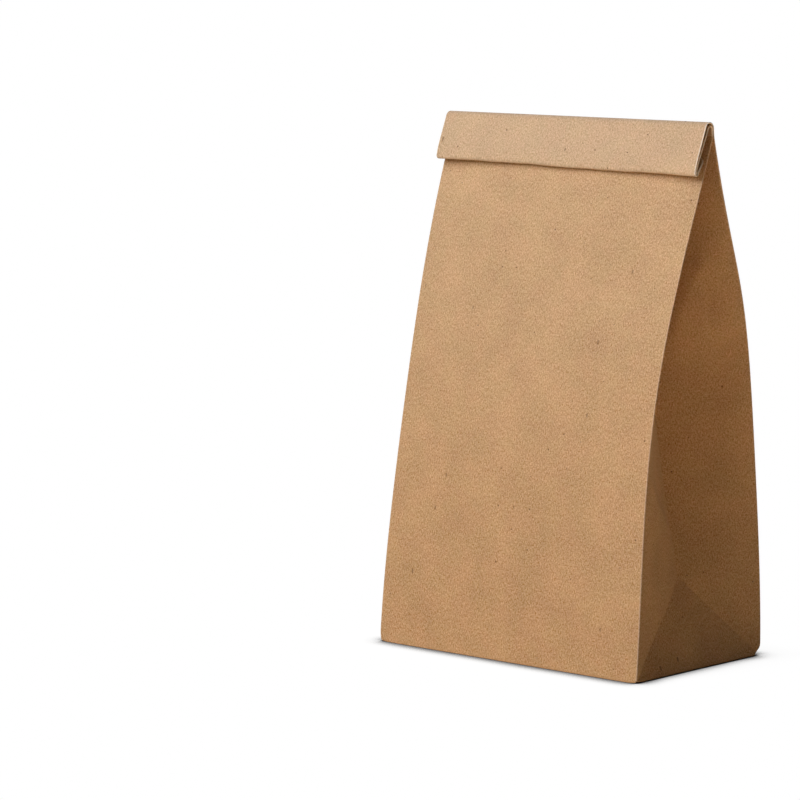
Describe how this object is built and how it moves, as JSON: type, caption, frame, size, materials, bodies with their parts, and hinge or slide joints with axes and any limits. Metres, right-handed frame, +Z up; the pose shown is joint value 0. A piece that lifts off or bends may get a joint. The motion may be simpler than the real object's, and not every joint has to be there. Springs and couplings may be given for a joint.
{
  "type": "paper lunch bag",
  "caption": "Brown kraft paper lunch bag standing on its folded square base, with sides gusseted inwards and its mouth rolled shut to the front.",
  "frame": {"origin": "centre of the base, on the underside of the pasted front flap, which is the face that the bag stands on", "axes": "+Z up the bag, +X across the front panel to its right, +Y from the front panel to the back panel"},
  "size_m": [0.1522, 0.0919, 0.2446],
  "materials": {
    "kraft_paper": "matte uncoated brown kraft, with fine fibres and scattered dark specks"
  },
  "bodies": {
    "root": {"paper_bag": "kraft_paper"}
  },
  "joints": []
}
